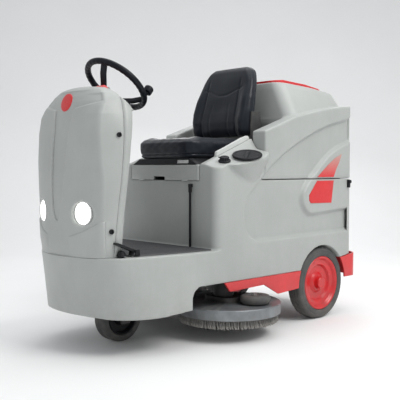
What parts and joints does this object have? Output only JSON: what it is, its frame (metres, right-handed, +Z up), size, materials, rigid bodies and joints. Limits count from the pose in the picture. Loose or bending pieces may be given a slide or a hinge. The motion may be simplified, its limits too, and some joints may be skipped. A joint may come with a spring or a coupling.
{
  "type": "ride-on scrubber dryer",
  "caption": "Ride-on floor scrubber dryer with a driver seat, steering column, twin disc brushes under a lifting deck, a tilting recovery tank and red-rimmed rear wheels.",
  "frame": {"origin": "centre of the bounding box's footprint on the floor, under the wheels", "axes": "+X forward, +Y to the machine's left, +Z up"},
  "size_m": [1.8385, 1.08, 1.406],
  "materials": {
    "body_grey": "textured rotomoulded polyethylene, light warm grey",
    "red_plastic": "semi-gloss moulded red",
    "black_plastic": "fine textured black",
    "soft_black": "soft-touch black grip",
    "vinyl": "blue-black upholstery vinyl",
    "tyre": "solid rubber tyre, grey-black",
    "mat_rubber": "ribbed floor mat",
    "frame_steel": "black powder coat",
    "deck_metal": "silver-grey painted deck, scuffed",
    "zinc": "zinc-plated steel",
    "bristle": "nylon bristle tufts with light tips",
    "battery": "battery case",
    "lamp": "clear headlight lens, lit",
    "chrome_ring": "headlight surround",
    "rail_white": "off-white trim",
    "hose": "black level hose with clamp"
  },
  "bodies": {
    "root": {"body_shell": "body_grey", "chassis_frame": "frame_steel", "rear_axle": "zinc", "battery_pack": "battery", "side_skirts": "red_plastic", "rear_skirt": "red_plastic", "side_panels_lower": "red_plastic", "column_front_cover": "body_grey", "column_rear_cover": "body_grey", "headlight_bezels": "chrome_ring", "headlight_lenses": "lamp", "column_screws": "black_plastic", "badge_disc": "red_plastic", "dash_panel": "red_plastic", "steering_column_tube": "black_plastic", "floor_mat": "mat_rubber", "pedal_mounts": "black_plastic", "level_hose": "hose", "tank_hinge_lower": "frame_steel", "tank_latches": "black_plastic", "console_rail": "rail_white"},
    "steering": {"steering_rim": "soft_black", "steering_hub": "black_plastic", "steering_shaft": "zinc"},
    "spinner": {"spinner_knob": "black_plastic"},
    "drive_unit": {"drive_fork": "frame_steel", "drive_motor": "frame_steel"},
    "drive_wheel": {"front_rim": "black_plastic", "front_tyre": "tyre"},
    "rear_wheel_left": {"rear_tyre_left": "tyre", "rear_rim_left": "red_plastic"},
    "rear_wheel_right": {"rear_tyre_right": "tyre", "rear_rim_right": "red_plastic"},
    "deck": {"deck_housing": "deck_metal", "brush_motors": "frame_steel", "roller_bolts": "zinc"},
    "brush_left": {"brush_disc_left": "black_plastic", "bristles_left": "bristle"},
    "brush_right": {"brush_disc_right": "black_plastic", "bristles_right": "bristle"},
    "roller_left": {"bumper_roller_left": "tyre"},
    "roller_right": {"bumper_roller_right": "tyre"},
    "seat_base": {"seat_lid": "body_grey", "seat_rails": "zinc"},
    "seat": {"seat_pan": "black_plastic", "seat_cushion": "vinyl"},
    "backrest": {"backrest_cushion": "vinyl", "backrest_bracket": "frame_steel"},
    "accelerator": {"accelerator_pedal": "black_plastic"},
    "brake": {"brake_pedal": "black_plastic"},
    "tank": {"recovery_tank": "body_grey", "vacuum_motor": "black_plastic", "side_panels_upper": "red_plastic", "tank_hinge_upper": "frame_steel"},
    "lid": {"tank_lid": "red_plastic"},
    "filler": {"filler_cap": "black_plastic"},
    "knob": {"control_knob": "black_plastic"},
    "estop": {"estop_button": "red_plastic"},
    "key": {"ignition_key": "zinc"},
    "squeegee_lift": {"squeegee_arm": "frame_steel"}
  },
  "joints": [
    {"name": "drive_steer", "type": "hinge", "parent": "root", "child": "drive_unit", "pos_m": [0.56865, 0, 0.39], "axis": [0, 0, 1], "range_deg": [-80, 80]},
    {"name": "steering_turn", "type": "hinge", "parent": "root", "child": "steering", "pos_m": [0.57465, 0, 1.252], "axis": [-0.6428, 0, 0.766], "range_deg": [-240, 240]},
    {"name": "spinner_turn", "type": "hinge", "parent": "steering", "child": "spinner", "pos_m": [0.50227, 0.12539, 1.19127], "axis": [-0.6428, 0, 0.766], "continuous": true},
    {"name": "drive_roll", "type": "hinge", "parent": "drive_unit", "child": "drive_wheel", "pos_m": [0.56865, 0, 0.118], "axis": [0, 1, 0], "continuous": true},
    {"name": "rear_roll_left", "type": "hinge", "parent": "root", "child": "rear_wheel_left", "pos_m": [-0.57435, 0.34, 0.2], "axis": [0, 1, 0], "continuous": true},
    {"name": "rear_roll_right", "type": "hinge", "parent": "root", "child": "rear_wheel_right", "pos_m": [-0.57435, -0.34, 0.2], "axis": [0, 1, 0], "continuous": true},
    {"name": "deck_lift", "type": "slide", "parent": "root", "child": "deck", "axis": [0, 0, 1], "range_m": [-0.068, 0]},
    {"name": "brush_spin_left", "type": "hinge", "parent": "deck", "child": "brush_left", "pos_m": [0.06565, 0.272, 0.14], "axis": [0, 0, 1], "continuous": true},
    {"name": "brush_spin_right", "type": "hinge", "parent": "deck", "child": "brush_right", "pos_m": [0.06565, -0.272, 0.14], "axis": [0, 0, 1], "continuous": true},
    {"name": "roller_turn_left", "type": "hinge", "parent": "deck", "child": "roller_left", "pos_m": [0.03165, 0.424, 0.193], "axis": [0, 0, 1], "continuous": true},
    {"name": "roller_turn_right", "type": "hinge", "parent": "deck", "child": "roller_right", "pos_m": [0.03165, -0.424, 0.193], "axis": [0, 0, 1], "continuous": true},
    {"name": "seat_base_tip", "type": "hinge", "parent": "root", "child": "seat_base", "pos_m": [0.27765, 0, 0.786], "axis": [0, 1, 0], "range_deg": [0, 50]},
    {"name": "seat_slide", "type": "slide", "parent": "seat_base", "child": "seat", "axis": [1, 0, 0], "range_m": [0, 0.09]},
    {"name": "backrest_tilt", "type": "hinge", "parent": "seat", "child": "backrest", "pos_m": [-0.19635, 0, 0.955], "axis": [0, 1, 0], "range_deg": [-3, 8]},
    {"name": "accelerator_press", "type": "hinge", "parent": "root", "child": "accelerator", "pos_m": [0.56965, -0.185, 0.474], "axis": [0, 1, 0], "range_deg": [0, 14], "stiffness_Nm_per_rad": 6},
    {"name": "brake_press", "type": "hinge", "parent": "root", "child": "brake", "pos_m": [0.69165, 0.284, 0.474], "axis": [0, 1, 0], "range_deg": [0, 10], "stiffness_Nm_per_rad": 8},
    {"name": "tank_tilt", "type": "hinge", "parent": "root", "child": "tank", "pos_m": [-0.91035, 0, 0.788], "axis": [0, -1, 0], "range_deg": [0, 45]},
    {"name": "lid_open", "type": "hinge", "parent": "tank", "child": "lid", "pos_m": [-0.81235, 0, 1.291], "axis": [0, -1, 0], "range_deg": [0, 85]},
    {"name": "filler_cap_turn", "type": "hinge", "parent": "root", "child": "filler", "pos_m": [0.05565, 0.388, 0.9025], "axis": [0.2453, 0.2218, 0.9437], "continuous": true},
    {"name": "control_knob_turn", "type": "hinge", "parent": "root", "child": "knob", "pos_m": [0.18365, 0.355, 0.877], "axis": [0.2453, 0.2218, 0.9437], "range_deg": [-135, 135]},
    {"name": "estop_press", "type": "slide", "parent": "root", "child": "estop", "axis": [0.7439, 0, -0.6683], "range_m": [0, 0.005], "stiffness_N_per_m": 300},
    {"name": "key_turn", "type": "hinge", "parent": "root", "child": "key", "pos_m": [0.72934, 0.1, 1.1749], "axis": [-0.7439, 0, 0.6683], "range_deg": [0, 60]},
    {"name": "squeegee_lift", "type": "hinge", "parent": "root", "child": "squeegee_lift", "pos_m": [-0.74235, 0, 0.222], "axis": [0, 1, 0], "range_deg": [0, 16]}
  ],
  "couplings": [
    {"joint": "steering_turn", "follows": "drive_steer", "ratio": 3},
    {"joint": "brush_spin_right", "follows": "brush_spin_left", "ratio": -1}
  ]
}
